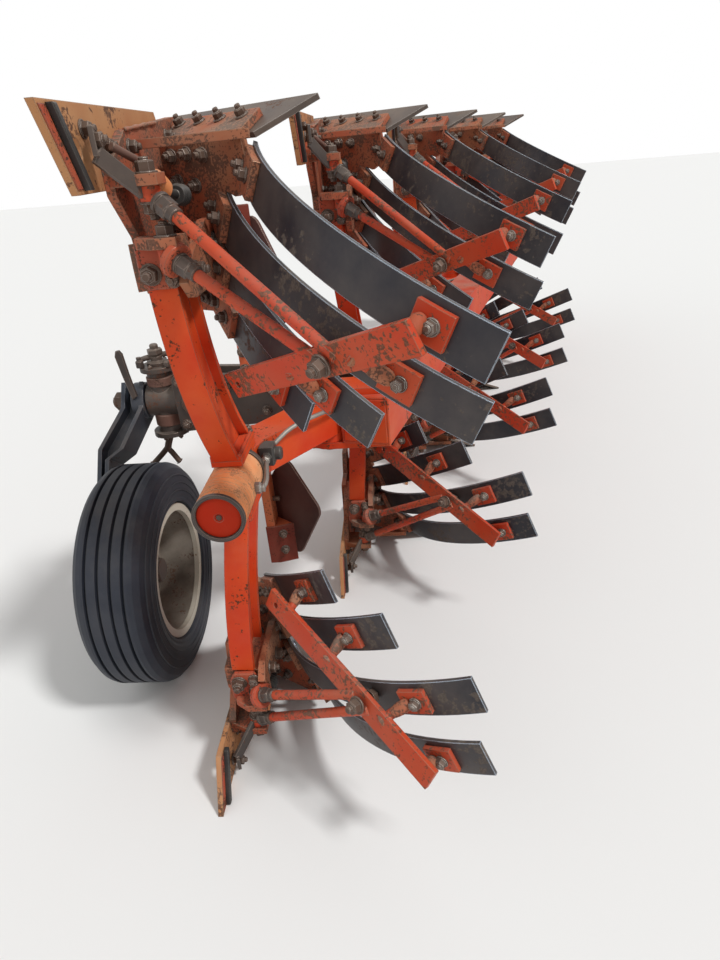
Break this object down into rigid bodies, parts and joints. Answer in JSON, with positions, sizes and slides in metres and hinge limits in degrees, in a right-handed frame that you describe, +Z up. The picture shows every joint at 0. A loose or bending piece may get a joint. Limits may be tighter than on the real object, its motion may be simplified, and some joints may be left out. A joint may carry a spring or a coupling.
{
  "type": "mounted reversible mouldboard plough",
  "caption": "Mounted reversible mouldboard plough with slatted mouldboards, stone-release legs, a swing-over depth wheel and a turnover headstock.",
  "frame": {"origin": "on the floor, under the middle of the plough's box", "axes": "+X to the right of travel, +Y forward along the travel, +Z up"},
  "size_m": [2.2607, 5.2427, 1.65],
  "materials": {
    "red_paint": "faded orange-red paint, chipped",
    "faded_red_paint": "sun-faded red paint with rust",
    "rusty_red_paint": "red paint worn to brown rust",
    "orange_paint": "scuffed pale orange paint",
    "rusty_steel": "tan rust on plate",
    "worn_steel": "soil-polished, tarnished",
    "slat_steel": "dark soil-polished spring steel",
    "skimmer_steel": "brown-red worn plate",
    "bare_steel": "machined, greasy",
    "dark_paint": "dark grey paint under dirt",
    "blue_grey_paint": "dark blue-grey forging",
    "cream_paint": "dusty cream enamel",
    "tyre": "ribbed implement tyre"
  },
  "bodies": {
    "frame": {"main_beam": "red_paint", "front_frame": "red_paint", "beam_lugs": "red_paint", "leg_arm_1": "red_paint", "leg_arm_2": "red_paint", "leg_arm_3": "red_paint", "leg_arm_4": "red_paint", "leg_arm_5": "red_paint", "legs_1": "red_paint", "legs_2": "red_paint", "legs_3": "red_paint", "legs_4": "red_paint", "legs_5": "red_paint", "frogs_1": "faded_red_paint", "frogs_2": "faded_red_paint", "frogs_3": "faded_red_paint", "frogs_4": "faded_red_paint", "frogs_5": "faded_red_paint", "landsides_1": "rusty_steel", "landsides_2": "rusty_steel", "landsides_3": "rusty_steel", "landsides_4": "rusty_steel", "landsides_5": "rusty_steel", "shares_1": "worn_steel", "shares_2": "worn_steel", "shares_3": "worn_steel", "shares_4": "worn_steel", "shares_5": "worn_steel", "slats_1": "slat_steel", "slats_2": "slat_steel", "slats_3": "slat_steel", "slats_4": "slat_steel", "slats_5": "slat_steel", "slat_stays_1": "rusty_red_paint", "slat_stays_2": "rusty_red_paint", "slat_stays_3": "rusty_red_paint", "slat_stays_4": "rusty_red_paint", "slat_stays_5": "rusty_red_paint", "release_cylinders": "orange_paint", "skimmer_stems": "faded_red_paint", "skimmer_boards": "skimmer_steel", "wheel_bracket": "dark_paint", "turnover_axle": "bare_steel", "stand_sleeve": "red_paint"},
    "headstock": {"headstock_frame": "red_paint", "link_shaft": "bare_steel", "turnover_cylinder": "red_paint"},
    "wheel_arm": {"wheel_arm": "blue_grey_paint"},
    "wheel": {"wheel_rim": "cream_paint", "wheel_tyre": "tyre"},
    "stand": {"stand_leg": "red_paint"}
  },
  "joints": [
    {"name": "turnover", "type": "hinge", "parent": "frame", "child": "headstock", "pos_m": [0.039, 2.26, 0.825], "axis": [0, 1, 0], "range_deg": [0, 180]},
    {"name": "wheel_swing", "type": "hinge", "parent": "frame", "child": "wheel_arm", "pos_m": [-1.131, -1.476, 0.825], "axis": [-1, 0, 0], "range_deg": [0, 107.44]},
    {"name": "wheel_spin", "type": "hinge", "parent": "wheel_arm", "child": "wheel", "pos_m": [-0.961, -1.821, 0.355], "axis": [1, 0, 0], "continuous": true},
    {"name": "stand_slide", "type": "slide", "parent": "frame", "child": "stand", "axis": [0, 0, 1], "range_m": [0, 0.4]}
  ]
}
